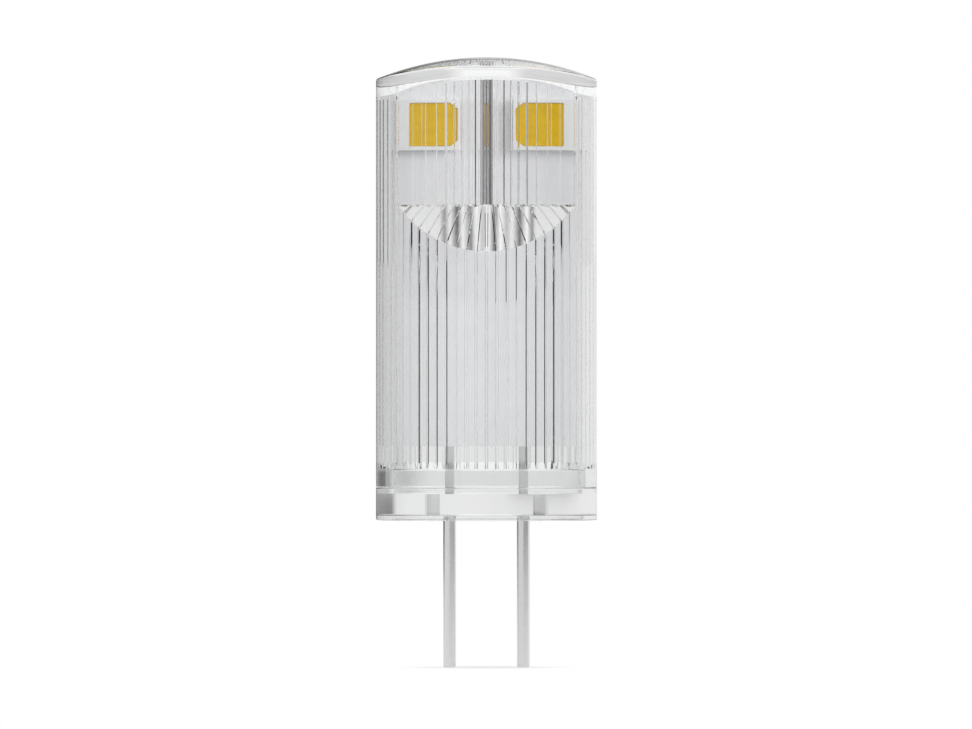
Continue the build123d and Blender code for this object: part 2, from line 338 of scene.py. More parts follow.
def pattern(tree, scale, detail=3.0, stretch=(1.0, 1.0, 1.0)):
    """Noise on Object coordinates, with its scale in waves per metre."""
    place = tree.nodes.new("ShaderNodeTexCoord").outputs["Object"]
    mapping = add_node(tree, "ShaderNodeMapping", {"Vector": place, "Scale": stretch})
    entries = {"Vector": mapping.outputs["Vector"], "Scale": scale, "Detail": detail}
    return add_node(tree, "ShaderNodeTexNoise", entries).outputs["Fac"]


def shades(tree, value, tone, depth):
    """The tone, darker by the given share where the pattern is low."""
    ramp = add_node(tree, "ShaderNodeValToRGB", {"Fac": value})
    darker = [part * (1.0 - depth) for part in tone]
    for element, place, shade in zip(ramp.color_ramp.elements, PATTERN_SPAN, (darker, tone)):
        element.position = place
        element.color = (*shade, 1.0)
    return ramp.outputs["Color"]


def relief(tree, value, height):
    """Normals with bumps of the given height."""
    return add_node(tree, "ShaderNodeBump", {"Height": value, "Distance": height}).outputs["Normal"]


def plain_finish(name, tone, depth, rough, grain, grain_height, metallic=0.0, stretch=(1.0, 1.0, 1.0)):
    """A finish with a mottled colour, uneven roughness and a fine grain."""
    material, tree, shader = new_finish(name)
    cloud = pattern(tree, grain / 4, 3.0, stretch)
    fine = pattern(tree, grain, 5.0, stretch)
    fill(tree, shader, {
        "Metallic": metallic,
        "Base Color": shades(tree, cloud, tone, depth),
        "Roughness": remap(tree, cloud, *PATTERN_SPAN, *rough),
        "Normal": relief(tree, fine, grain_height),
    })
    return material


def clear_finish(name, tint, rough):
    """Clear moulded plastic with faint flow ripples, through which lamps light what stands behind."""
    material, tree, shader = new_finish(name)
    flow = pattern(tree, 250.0, 2.0, (1.0, 1.0, 0.25))
    fill(tree, shader, {
        "Transmission Weight": 1.0,
        "IOR": 1.49,
        "Base Color": shades(tree, flow, tint, 0.01),
        "Roughness": remap(tree, flow, *PATTERN_SPAN, *rough),
        "Normal": relief(tree, flow, 0.0008 * MM),
    })
    shadow = tree.nodes.new("ShaderNodeLightPath").outputs["Is Shadow Ray"]
    open_way = tree.nodes.new("ShaderNodeBsdfTransparent")
    mix_shaders(tree, shadow, shader.outputs["BSDF"], open_way.outputs["BSDF"])
    return material


def phosphor_finish(tone):
    """Yellow grains in clear silicone."""
    material = plain_finish("yellow_phosphor", tone, 0.14, (0.3, 0.45), 9000.0, 0.006 * MM)
    shader = node_of_type(material.node_tree, "BSDF_PRINCIPLED")
    fill(material.node_tree, shader, {
        "Specular IOR Level": 0.25,
        "Coat Weight": 0.1,
        "Coat Roughness": 0.3,
    })
    return material


def board_finish(tone, strip_tone, painted_strip_width):
    """White solder mask, with a grey strip painted down its middle in place of a dark reflection."""
    material = plain_finish("white_solder_mask_with_painted_strip", tone, 0.03, (0.4, 0.52), 5000.0, 0.003 * MM)
    tree = material.node_tree
    base = node_of_type(tree, "BSDF_PRINCIPLED").inputs["Base Color"]
    across, along, _ = split(tree, "Object")
    middle = (BOARD_LOW.y + BOARD_HIGH.y) / 2
    half_depth = (BOARD_HIGH.y - BOARD_LOW.y) / 2 - 0.02 * MM
    # Painted dark reflection: the strip runs down the board's middle, through its depth and over its whole
    # height
    in_painted_strip = reckon(
        tree, "MULTIPLY",
        reckon(tree, "COMPARE", across, 0.0, painted_strip_width / 2 + 0.005 * MM),
        reckon(tree, "COMPARE", along, middle, half_depth),
    )
    # Painted dark reflection: the strip's grey, mottled a little
    strip_colour = shades(tree, pattern(tree, 9000.0, 3.0, (1.0, 1.0, 0.1)), strip_tone, 0.25)
    tree.links.new(blend(tree, in_painted_strip, base.links[0].from_socket, strip_colour), base)
    return material


# Meshes


def put(name, data):
    """A new object in the scene."""
    item = bpy.data.objects.new(name, data)
    bpy.context.scene.collection.objects.link(item)
    return item


def new_piece(name, mesh, material):
    """A finished piece that rides on the bulb."""
    piece = put(name, mesh)
    mesh.materials.append(material)
    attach(piece, BODY)
    return piece


def dress(node, mesh, material):
    """A finished piece that takes the place of a CAD node."""
    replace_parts(new_piece(f"{node}_shell", mesh, material), node)


def paint_node(name, material):
    """Gives a CAD node its finish."""
    slots = frame["nodes"][name].data.materials
    slots.clear()
    slots.append(material)


def shade(mesh, sharp_degrees):
    """Shades a mesh smooth but for edges sharper than the angle."""
    mesh.polygons.foreach_set("use_smooth", [True] * len(mesh.polygons))
    mesh.set_sharp_from_angle(angle=math.radians(sharp_degrees))


def smooth_mesh(name, vertices, faces, sharp_degrees):
    """A mesh whose normals point outwards, smooth but for edges sharper than the angle."""
    build = bmesh.new()
    corners = [build.verts.new(place) for place in vertices]
    for face in faces:
        build.faces.new([corners[index] for index in face])
    bmesh.ops.recalc_face_normals(build, faces=build.faces)
    mesh = bpy.data.meshes.new(name)
    build.to_mesh(mesh)
    build.free()
    shade(mesh, sharp_degrees)
    return mesh


def ring_faces(rings, size, start):
    """Quads between rings of one size that follow each other from a start index."""
    faces = []
    for ring in range(rings - 1):
        low = start + ring * size
        for index in range(size):
            following = (index + 1) % size
            faces.append((low + index, low + following, low + size + following, low + size + index))
    return faces


def loft(rings):
    """Vertices and faces of a closed solid through rings of points, capped by a fan at both ends."""
    size = len(rings[0])
    vertices = [point for ring in rings for point in ring]
    faces = ring_faces(len(rings), size, 0)
    for ring, base in ((rings[0], 0), (rings[-1], (len(rings) - 1) * size)):
        centre = len(vertices)
        vertices.append(sum((Vector(point) for point in ring), Vector()) / size)
        faces += [(base + index, base + (index + 1) % size, centre) for index in range(size)]
    return vertices, faces


def lofted(name, rings, sharp_degrees):
    """The smooth mesh of a closed solid through rings of points."""
    return smooth_mesh(name, *loft(rings), sharp_degrees)


def arc(centre, radius, first, last, steps):
    """Points of an arc in a radius and height plane, angles in degrees."""
    points = []
    for step in range(steps + 1):
        angle = math.radians(first + (last - first) * step / steps)
        points.append((centre[0] + radius * math.cos(angle), centre[1] + radius * math.sin(angle)))
    return points


def held(profile):
    """The profile with a point close to both ends of each long line, which keeps its shading flat."""
    margin = 0.01 * MM
    points = [profile[0]]
    for first, last in zip(profile, profile[1:]):
        span = math.dist(first, last)
        if span > 8 * margin:
            for share in (margin / span, 1 - margin / span):
                points.append(tuple(start + (end - start) * share for start, end in zip(first, last)))
        points.append(last)
    return points


def turned(profile, steps, centre_x=0.0):
    """Rings of points of a profile of radii and heights turned about an upright axis."""
    rings = []
    for radius, height in profile:
        ring = []
        for step in range(steps):
            angle = 2 * math.pi * step / steps
            ring.append(Vector((centre_x + radius * math.cos(angle), radius * math.sin(angle), height)))
        rings.append(ring)
    return rings


class HousingShape:
    """The housing's outside and its fluted cavity, both drawn in columns round the axis."""

    CROWN_RINGS = 14
    ROUNDING_STEPS = 6
    LIP_STEPS = 3
    # Offset across a flute in half widths, and the share of its depth there
    SLOT = (
        (-1.0, 0.0), (-0.8, 0.5), (-0.6, 1.0), (-0.2, 1.0), (0.2, 1.0), (0.6, 1.0), (0.8, 0.5), (1.0, 0.0),
    )
    RIB_STEPS = 4
    BORE_STEPS = 4
    FLARE_STEPS = 8
    ROOF_STEPS = 8
    WALL_STEPS = 4
    # A short step that keeps rings apart and shading flat
    STEP = 0.02 * MM

    def __init__(self, sizes):
        self.sizes = sizes
        self.radius = HOUSING_HIGH.x
        self.bottom = HOUSING_LOW.z
        self.top = HOUSING_HIGH.z
        self.shoulder = self.top - sizes.dome_rise
        self.bore = self.radius - sizes.wall
        self.counterbore = self.radius - sizes.counterbore_wall
        self.counterbore_top = self.bottom + sizes.counterbore_height
        self.flare_top = self.shoulder - sizes.flat_height
        self.arch = bow_radius(self.radius, sizes.dome_rise)
        self.ridge = bow_radius(self.radius, sizes.ridge_fall)

    def crown(self, x, y):
        """Height of the arched outside of the roof."""
        return bowed(self.top, self.arch, self.ridge, x, y)

    def ceiling(self, x, y, gap=0.0):
        """Height of the cavity's roof, or of a surface that lies a gap under it."""
        crown = self.top - self.sizes.roof - gap
        return bowed(crown, self.sizes.ceiling_arch - gap, self.ridge - self.sizes.roof - gap, x, y)

    def outside(self, angle):
        """Points of one outer column from near the crown down to the top of the counterbore."""
        sizes = self.sizes
        across, along = math.cos(angle), math.sin(angle)

        def on_roof(radius):
            return radius, self.crown(radius * across, radius * along)

        rounding = sizes.shoulder_radius
        edge = on_roof(self.radius)
        start = on_roof(self.radius - rounding)
        finish = (self.radius, edge[1] - rounding)
        profile = [
            on_roof((self.radius - rounding) * ring / self.CROWN_RINGS)
            for ring in range(1, self.CROWN_RINGS)
        ]
        for step in range(self.ROUNDING_STEPS + 1):
            part = step / self.ROUNDING_STEPS
            profile.append(tuple(
                (1 - part) ** 2 * start[axis] + 2 * part * (1 - part) * edge[axis] + part**2 * finish[axis]
                for axis in (0, 1)
            ))
        roof = profile[:-1]
        wall = profile[-1:]
        lip = sizes.edge_radius
        wall += arc((self.radius - lip, self.bottom + lip), lip, 0, -90, self.LIP_STEPS)
        wall += arc((self.counterbore + lip, self.bottom + lip), lip, 270, 180, self.LIP_STEPS)
        wall.append((self.counterbore, self.counterbore_top))
        return [Vector((radius * across, radius * along, height)) for radius, height in roof + held(wall)]

    def columns(self):
        """Direction, offset across it and depth share of each column of the cavity's wall."""
        half = self.sizes.flute_width / 2
        turn = 2 * math.pi / self.sizes.flutes
        columns = []
        for index in range(self.sizes.flutes):
            angle = turn * index
            for offset, depth in self.SLOT:
                columns.append((angle, offset * half, depth))
            edge = half / self.bore
            for step in range(1, self.RIB_STEPS):
                between = angle + edge + (turn - 2 * edge) * step / self.RIB_STEPS
                columns.append((between, 0.0, 0.0))
        return columns

    def round_reach(self, column, growth):
        """Distance from the axis to the round bore, widened by a growth, along a column's direction."""
        return math.sqrt((self.bore + growth) ** 2 - column[1] ** 2)

    def cut(self, column):
        """A column's depth in its flute, its reach in the round bore, and its shift and slope to the flat."""
        angle, offset, depth = column
        growth = depth * self.sizes.flute_depth
        shift = offset * math.cos(angle) * math.copysign(1.0, math.sin(angle))
        return growth, self.round_reach(column, growth), shift, abs(math.sin(angle))

    def wall_reach(self, column, height):
        """Distance of the cavity's wall from the axis along a column's direction."""
        growth, reach, shift, slope = self.cut(column)
        if slope > 1e-6:
            flat = self.sizes.flat_offset + growth + max(0.0, self.flare_top - height)
            reach = min(reach, (flat - shift) / slope)
        return reach

    def place(self, column, height, reach):
        """A point of the cavity in space."""
        angle, offset, _ = column
        across = (-math.sin(angle) * offset, math.cos(angle) * offset)
        return Vector((reach * math.cos(angle) + across[0], reach * math.sin(angle) + across[1], height))

    def under_ceiling(self, column, reach, gap):
        """The point of a column at a distance from the axis that lies a gap under the ceiling."""
        point = self.place(column, 0.0, reach)
        point.z = self.ceiling(point.x, point.y, gap)
        return point

    def flare_bottom(self, column):
        """Height at which a column leaves the round bore for the flare."""
        growth, reach, shift, slope = self.cut(column)
        lean = reach * slope + shift - growth - self.sizes.flat_offset
        return self.flare_top - max(lean, self.STEP)

    def bevel_point(self, column):
        """Where a column starts on the bevel at the counterbore's roof."""
        growth = max(self.sizes.lead_in_width, column[2] * self.sizes.flute_depth)
        return self.place(column, self.counterbore_top, self.round_reach(column, growth))

    def inside(self, column):
        """Points of one column from the counterbore up the wall and along the roof to near the axis."""
        start = self.flare_bottom(column)
        low = self.counterbore_top + self.sizes.lead_in
        hold = low + self.STEP
        heights = [low]
        heights += [hold + (start - hold) * step / self.BORE_STEPS for step in range(self.BORE_STEPS + 1)]
        for step in range(1, self.FLARE_STEPS + 1):
            heights.append(start + (self.flare_top - start) * step / self.FLARE_STEPS)
        points = [self.place(column, height, self.wall_reach(column, height)) for height in heights]
        points.insert(0, self.bevel_point(column))
        reach = self.wall_reach(column, self.shoulder)
        end = self.under_ceiling(column, reach, self.sizes.flute_gap).z
        for step in range(1, self.WALL_STEPS + 1):
            height = self.flare_top + (end - self.flare_top) * step / self.WALL_STEPS
            points.append(self.place(column, height, reach))
        plain = (column[0], column[1], 0.0)
        reach = self.wall_reach(plain, self.shoulder)
        points.append(self.place(plain, end if column[2] > 0 else end + self.STEP, reach))
        for step in range(self.ROOF_STEPS):
            part = 1 - step / self.ROOF_STEPS
            points.append(self.under_ceiling((column[0], column[1] * part, 0.0), reach * part, 0.0))
        return points

    def mesh(self):
        """The whole housing as one closed mesh."""
        columns = self.columns()
        size = len(columns)
        turn = 2 * math.pi / size
        lead = (len(self.SLOT) - 1) / 2
        outer = [self.outside((index - lead) * turn) for index in range(size)]
        walls = [self.inside(column) for column in columns]
        rings = [[column[level] for column in outer] for level in range(len(outer[0]))]
        rings += [[column[level] for column in walls] for level in range(len(walls[0]))]
        return lofted("clear_housing_shell", rings, 40.0)


def bow_radius(half_width, rise):
    """Radius of an arc that rises by the given height over its half width."""
    return (half_width**2 + rise**2) / (2 * rise)


def bowed(crown, arch, ridge, x, y):
    """Height of a surface that is an arc across the X axis, turned about a line along the X axis."""
    turning = ridge - arch + math.sqrt(arch**2 - x**2)
    return crown - ridge + math.sqrt(turning**2 - y**2)


def plug_profile(sizes):
    """Radius and height of the plug from the middle of its underside to the middle of its floor."""
    radius = PLUG_HIGH.x
    inner = radius - sizes.rim
    rounding = sizes.rounding
    top = PLUG_HIGH.z
    spigot_inner = sizes.spigot_radius - sizes.spigot_wall
    small = 0.04 * MM
    hub = 0.2 * MM
    profile = [(hub, sizes.recess)]
    profile += arc((inner - small, sizes.recess - small), small, 90, 0, 3)
    profile += [(inner, 0.0)]
    profile += arc((radius - rounding, rounding), rounding, 270, 360, 5)
    profile += arc((radius - small, sizes.flange_height - small), small, 0, 90, 3)
    profile += [(sizes.spigot_radius, sizes.flange_height)]
    profile += arc((sizes.spigot_radius - rounding, top - rounding), rounding, 0, 90, 5)
    profile += arc((spigot_inner + rounding, top - rounding), rounding, 90, 180, 5)
    profile += [(spigot_inner, sizes.floor_top), (hub, sizes.floor_top)]
    return profile


def square_ring(centre_x, half, rounding, height, steps):
    """A ring of points round a square with rounded corners."""
    ring = []
    for step in range(steps):
        angle = 2 * math.pi * step / steps
        x, y = math.cos(angle), math.sin(angle)
        longest = max(abs(x), abs(y))
        point = Vector((x / longest * half, y / longest * half, 0))
        core = half - rounding
        inner = Vector((max(-core, min(core, point.x)), max(-core, min(core, point.y)), 0))
        outward = point - inner
        if outward.length > 1e-9:
            point = inner + outward.normalized() * rounding
        ring.append(Vector((centre_x + point.x, point.y, height)))
    return ring


def pin_mesh(name, sizes, side):
    """One pin: bevelled tip, round contact, step and square tail."""
    steps = 64
    low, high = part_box(f"contact_pin_{name}")
    centre = side * sizes.pitch / 2
    radius = sizes.diameter / 2
    edge = 0.03 * MM
    profile = [(radius - sizes.tip, low.z)]
    profile += [(radius - edge / 2, low.z + sizes.tip - edge / 2), (radius, low.z + sizes.tip + edge / 2)]
    profile += [(radius, 0.0)]
    profile += arc((radius - edge, sizes.step_height - edge), edge, 0, 90, 3)
    rings = turned(held(profile), steps, centre)
    half = sizes.tail / 2
    rings += [
        square_ring(centre, half, edge * 1.5, sizes.step_height, steps),
        square_ring(centre, half, edge * 1.5, high.z - edge, steps),
        square_ring(centre, half - edge, edge, high.z, steps),
    ]
    return lofted(f"contact_pin_{name}_shell", rings, 30.0)


def outline(corners, steps):
    """Points round a polygon whose corners are rounded by their own radius or cut by a chamfer."""
    points = []
    total = len(corners)
    for index, (place, size, cut) in enumerate(corners):
        here = Vector(place)
        before = (Vector(corners[index - 1][0]) - here).normalized()
        after = (Vector(corners[(index + 1) % total][0]) - here).normalized()
        first = here + before * size
        last = here + after * size
        centre = here + (before + after) * size
        for step in range(steps + 1):
            share = step / steps
            if cut:
                points.append(first.lerp(last, share))
            else:
                angle = share * math.pi / 2
                points.append(centre - after * size * math.cos(angle) - before * size * math.sin(angle))
    return points


class DiodeShape:
    """The package and the phosphor of one diode, drawn on the board's face."""

    STEPS = 8
    # Distance from the cup's wall and height over the phosphor's level, in millimetres
    CREEP = ((0.012, 0.022), (0.05, 0.006), (0.12, 0.0), (0.3, -0.008), (0.6, -0.012), (0.9, -0.014))

    def __init__(self, name, sizes):
        face_name, side_name = name.split("_")
        self.name = name
        self.sizes = sizes
        self.side = SIDES[side_name]
        self.outward = FACES[face_name]
        low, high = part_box(f"led_package_{name}")
        self.inner_edge = low.x if self.side > 0 else -high.x
        self.length = high.x - low.x
        self.height = high.z - low.z
        self.centre_height = (low.z + high.z) / 2
        self.thickness = high.y - low.y
        self.face = BOARD_HIGH.y if self.outward > 0 else BOARD_LOW.y

    def at(self, flat_points, rise):
        """Points drawn in the board's face, lifted off it."""
        ring = []
        for point in flat_points:
            x = self.side * (self.inner_edge + point.x)
            ring.append(Vector((x, self.face + self.outward * rise, self.centre_height + point.y)))
        return ring

    def rectangle(self, first, last, half, inner, outer, cut):
        """Points round a rectangle with rounded outer corners and rounded or cut inner ones."""
        return outline(
            [((first, -half), inner, cut), ((last, -half), outer, False),
             ((last, half), outer, False), ((first, half), inner, cut)],
            self.STEPS,
        )

    def box_outline(self, inset):
        """The package's outline, drawn in by an inset."""
        half = self.height / 2 - inset
        first, last = inset, self.length - inset
        corner = max(self.sizes.corner_radius - inset, 0.02 * MM)
        return self.rectangle(first, last, half, corner, corner, False)

    def window_outline(self, inset):
        """The window's outline, drawn in by an inset."""
        half = self.sizes.window_height / 2 - inset
        first = self.sizes.window_margin + inset
        last = self.sizes.window_margin + self.sizes.window_length - inset
        chamfer = max(self.sizes.window_chamfer - inset / 2, 0.02 * MM)
        corner = max(self.sizes.window_rounding - inset, 0.05 * MM)
        return self.rectangle(first, last, half, chamfer, corner, True)

    def package(self):
        """White package with rounded edges and a tapered cup."""
        edge = self.sizes.edge_radius
        top = self.thickness
        rings = [self.at(self.box_outline(0.0), 0.0)]
        for radius, height in arc((0.0, top - edge), edge, 0, 90, 4):
            rings.append(self.at(self.box_outline(edge - radius), height))
        lip = 0.02 * MM
        rings.append(self.at(self.window_outline(-lip), top))
        rings.append(self.at(self.window_outline(0.0), top - lip))
        rings.append(self.at(self.window_outline(self.sizes.cup_taper), top - self.sizes.cup_depth))
        return lofted(f"led_package_{self.name}_shell", rings, 35.0)

    def phosphor(self):
        """Phosphor that fills the cup and creeps a little way up its wall."""
        top = self.thickness - self.sizes.phosphor_sink
        bottom = self.thickness - self.sizes.cup_depth
        taper = self.sizes.cup_taper
        rings = [self.at(self.window_outline(taper), bottom)]
        lean = (self.thickness - top) * (taper / self.sizes.cup_depth)
        for inset, rise in self.CREEP:
            rings.append(self.at(self.window_outline(lean + inset * MM), top + rise * MM))
        return lofted(f"led_phosphor_{self.name}_shell", rings, 50.0)


# Levels of a solder joint by share of its height, and how far its outline draws in there
SOLDER_LEVELS = (0.0, 0.08, 0.2, 0.35, 0.5, 0.65, 0.8, 0.92, 1.0)
SOLDER_NECK = 0.46
SOLDER_HOLLOW = 0.6
SOLDER_CROWN_START = 0.9
SOLDER_CROWN = 0.18


def solder_mesh(name, board_back, width):
    """Solder that has wetted the board and a tail, with a hollow skirt and a rounded crown."""
    low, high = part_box(f"solder_joint_{name}")
    middle = (low + high) / 2
    half_length = (high.z - low.z) / 2
    rise = high.y - board_back
    steps = 48
    rings = []
    for share in SOLDER_LEVELS:
        drawn_in = SOLDER_NECK * math.sin(share * math.pi / 2) ** SOLDER_HOLLOW
        if share > SOLDER_CROWN_START:
            drawn_in += SOLDER_CROWN * (share - SOLDER_CROWN_START) / (1 - SOLDER_CROWN_START)
        half = width / 2 * (1 - drawn_in)
        reach = half_length - width / 2 * drawn_in
        ring = []
        for step in range(steps):
            angle = 2 * math.pi * step / steps
            x = half * math.cos(angle)
            z = half * math.sin(angle) + math.copysign(reach - half, math.sin(angle))
            ring.append(Vector((middle.x + x, board_back + rise * share, middle.z + z)))
        rings.append(ring)
    return lofted(f"solder_joint_{name}_shell", rings, 60.0)


def fillet_tree(material):
    """Geometry Nodes that put a solder fillet, a low cone of uneven size, on each point of a mesh."""
    tree = bpy.data.node_groups.new("solder_fillets", "GeometryNodeTree")
    tree.interface.new_socket("Points", in_out="INPUT", socket_type="NodeSocketGeometry")
    for name in ("Foot", "Crown", "Rise"):
        tree.interface.new_socket(name, in_out="INPUT", socket_type="NodeSocketFloat")
    tree.interface.new_socket("Seed", in_out="INPUT", socket_type="NodeSocketInt")
    tree.interface.new_socket("Fillets", in_out="OUTPUT", socket_type="NodeSocketGeometry")
    given = tree.nodes.new("NodeGroupInput").outputs
    cone = add_node(tree, "GeometryNodeMeshCone", {
        "Vertices": 28,
        "Side Segments": 3,
        "Radius Bottom": given["Foot"],
        "Radius Top": given["Crown"],
        "Depth": given["Rise"],
    })
    # Inputs 2 and 3 are the least and the greatest number, and output 1 the number between
    uneven = add_node(tree, "FunctionNodeRandomValue", {2: 0.9, 3: 1.08, "Seed": given["Seed"]})
    copies = add_node(tree, "GeometryNodeInstanceOnPoints", {
        "Points": given["Points"],
        "Instance": cone.outputs["Mesh"],
        "Rotation": (-math.pi / 2, 0.0, 0.0),
        "Scale": uneven.outputs[1],
    })
    whole = add_node(tree, "GeometryNodeRealizeInstances", {"Geometry": copies.outputs["Instances"]})
    painted = add_node(tree, "GeometryNodeSetMaterial", {
        "Geometry": whole.outputs["Geometry"],
        "Material": material,
    })
    add_node(tree, "NodeGroupOutput", {"Fillets": painted.outputs["Geometry"]})
    return tree


def fillet_places(sizes):
    """Points on the board's back where the driver parts' leads and end caps are soldered."""
    places = []
    low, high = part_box("bridge_rectifier_leads")
    half = sizes.rectifier_lead / 2
    places += [(x, z) for x in (low.x, high.x) for z in (low.z + half, high.z - half)]
    low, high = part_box("driver_chip_leads")
    half = sizes.driver_lead / 2
    places += [(x, z) for x in (low.x + half, (low.x + high.x) / 2, high.x - half) for z in (low.z, high.z)]
    for name in ("input_capacitor_end_caps", "output_capacitor_end_caps"):
        low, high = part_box(name)
        places += [((low.x + high.x) / 2, z) for z in (low.z, high.z)]
    for name in ("sense_resistor_left_end_caps", "sense_resistor_right_end_caps"):
        low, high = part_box(name)
        places += [(x, (low.z + high.z) / 2) for x in (low.x, high.x)]
    return [Vector((x, BOARD_HIGH.y, z)) for x, z in places]


def fillet_mesh(sizes, material):
    """The mesh of all solder fillets."""
    points = bpy.data.meshes.new("fillet_points")
    points.from_pydata(fillet_places(sizes), [], [])
    carrier = put("fillet_points", points)
    modifier = carrier.modifiers.new("Fillets", "NODES")
    modifier.node_group = fillet_tree(material)
    values = {
        "Foot": sizes.fillet_foot,
        "Crown": sizes.fillet_crown,
        "Rise": sizes.fillet_rise,
        "Seed": sizes.fillet_seed,
    }
    for socket in modifier.node_group.interface.items_tree:
        if socket.name in values:
            modifier[socket.identifier] = values[socket.name]
    carrier.update_tag()
    shown = carrier.evaluated_get(bpy.context.evaluated_depsgraph_get())
    mesh = bpy.data.meshes.new_from_object(shown)
    carrier.modifiers.remove(modifier)
    bpy.data.objects.remove(carrier)
    if len(mesh.polygons) == 0:
        raise RuntimeError("the solder fillets came out empty")
    shade(mesh, 60.0)
    mesh.materials.clear()
    return mesh


# Operators


class BULB_OT_housing(bpy.types.Operator):
    """Add the clear fluted housing"""

    bl_idname = "capsule_bulb.housing"
    bl_label = "Clear Housing"

    def execute(self, context):
        settings = context.scene.capsule_bulb
        mesh = HousingShape(settings.housing).mesh()
        material = clear_finish("clear_plastic", settings.finishes.clear, (0.0, 0.012))
        dress("clear_housing", mesh, material)
        return {"FINISHED"}


class BULB_OT_plug(bpy.types.Operator):
    """Add the clear base plug"""

    bl_idname = "capsule_bulb.plug"
    bl_label = "Base Plug"

    def execute(self, context):
        settings = context.scene.capsule_bulb
        mesh = lofted("base_plug_shell", turned(held(plug_profile(settings.plug)), 240), 30.0)
        material = clear_finish("plug_plastic", settings.finishes.clear, (0.01, 0.04))
        dress("base_plug", mesh, material)
        return {"FINISHED"}


class BULB_OT_pins(bpy.types.Operator):
    """Add the two contact pins"""

    bl_idname = "capsule_bulb.pins"
    bl_label = "Contact Pins"

    def execute(self, context):
        settings = context.scene.capsule_bulb
        drawn = (1.0, 1.0, 0.04)
        material = plain_finish(
            "bright_wire", settings.finishes.pin, 0.08, (0.08, 0.14), 14000.0, 0.002 * MM, 1.0, drawn
        )
        for name, side in SIDES.items():
            dress(f"contact_pin_{name}", pin_mesh(name, settings.pin, side), material)
        return {"FINISHED"}


class BULB_OT_solder(bpy.types.Operator):
    """Add the two solder joints and the driver parts' solder fillets"""

    bl_idname = "capsule_bulb.solder"
    bl_label = "Solder Joints"

    def execute(self, context):
        settings = context.scene.capsule_bulb
        material = plain_finish("solder", settings.finishes.solder, 0.12, (0.22, 0.4), 4000.0, 0.01 * MM, 1.0)
        for name in SIDES:
            mesh = solder_mesh(name, BOARD_HIGH.y, settings.board.solder_width)
            dress(f"solder_joint_{name}", mesh, material)
        new_piece("driver_solder_fillets", fillet_mesh(settings.board, material), material)
        return {"FINISHED"}


class BULB_OT_board(bpy.types.Operator):
    """Finish the circuit board"""

    bl_idname = "capsule_bulb.board"
    bl_label = "Circuit Board"

    def execute(self, context):
        settings = context.scene.capsule_bulb
        finishes = settings.finishes
        material = board_finish(finishes.board, finishes.score, settings.board.painted_strip_width)
        paint_node("circuit_board", material)
        return {"FINISHED"}


class BULB_OT_diodes(bpy.types.Operator):
    """Add the four diodes"""

    bl_idname = "capsule_bulb.diodes"
    bl_label = "Diodes"

    def execute(self, context):
        settings = context.scene.capsule_bulb
        finishes = settings.finishes
        white = plain_finish("white_package", finishes.package, 0.03, (0.35, 0.5), 8000.0, 0.002 * MM)
        yellow = phosphor_finish(finishes.phosphor)
        for name in LED_NAMES:
            shape = DiodeShape(name, settings.diode)
            dress(f"led_package_{name}", shape.package(), white)
            dress(f"led_phosphor_{name}", shape.phosphor(), yellow)
        return {"FINISHED"}


class BULB_OT_driver(bpy.types.Operator):
    """Finish the driver parts and the plated metal"""

    bl_idname = "capsule_bulb.driver"
    bl_label = "Driver Parts"

    def execute(self, context):
        finishes = context.scene.capsule_bulb.finishes
        plating = plain_finish("tin_plating", finishes.plating, 0.1, (0.25, 0.4), 9000.0, 0.002 * MM, 1.0)
        moulding = plain_finish("black_epoxy", finishes.moulding, 0.3, (0.5, 0.65), 12000.0, 0.006 * MM)
        ceramic = plain_finish("tan_ceramic", finishes.ceramic, 0.12, (0.55, 0.7), 12000.0, 0.003 * MM)
        film = plain_finish("resistor_film", finishes.film, 0.3, (0.2, 0.3), 6000.0, 0.002 * MM)
        by_slot = {
            "plated_metal": plating,
            "black_moulding": moulding,
            "capacitor_ceramic": ceramic,
            "resistor_film": film,
        }
        for part in frame["record"]["subparts"]:
            if part["material_slot"] in by_slot:
                paint_node(part["node"], by_slot[part["material_slot"]])
        return {"FINISHED"}


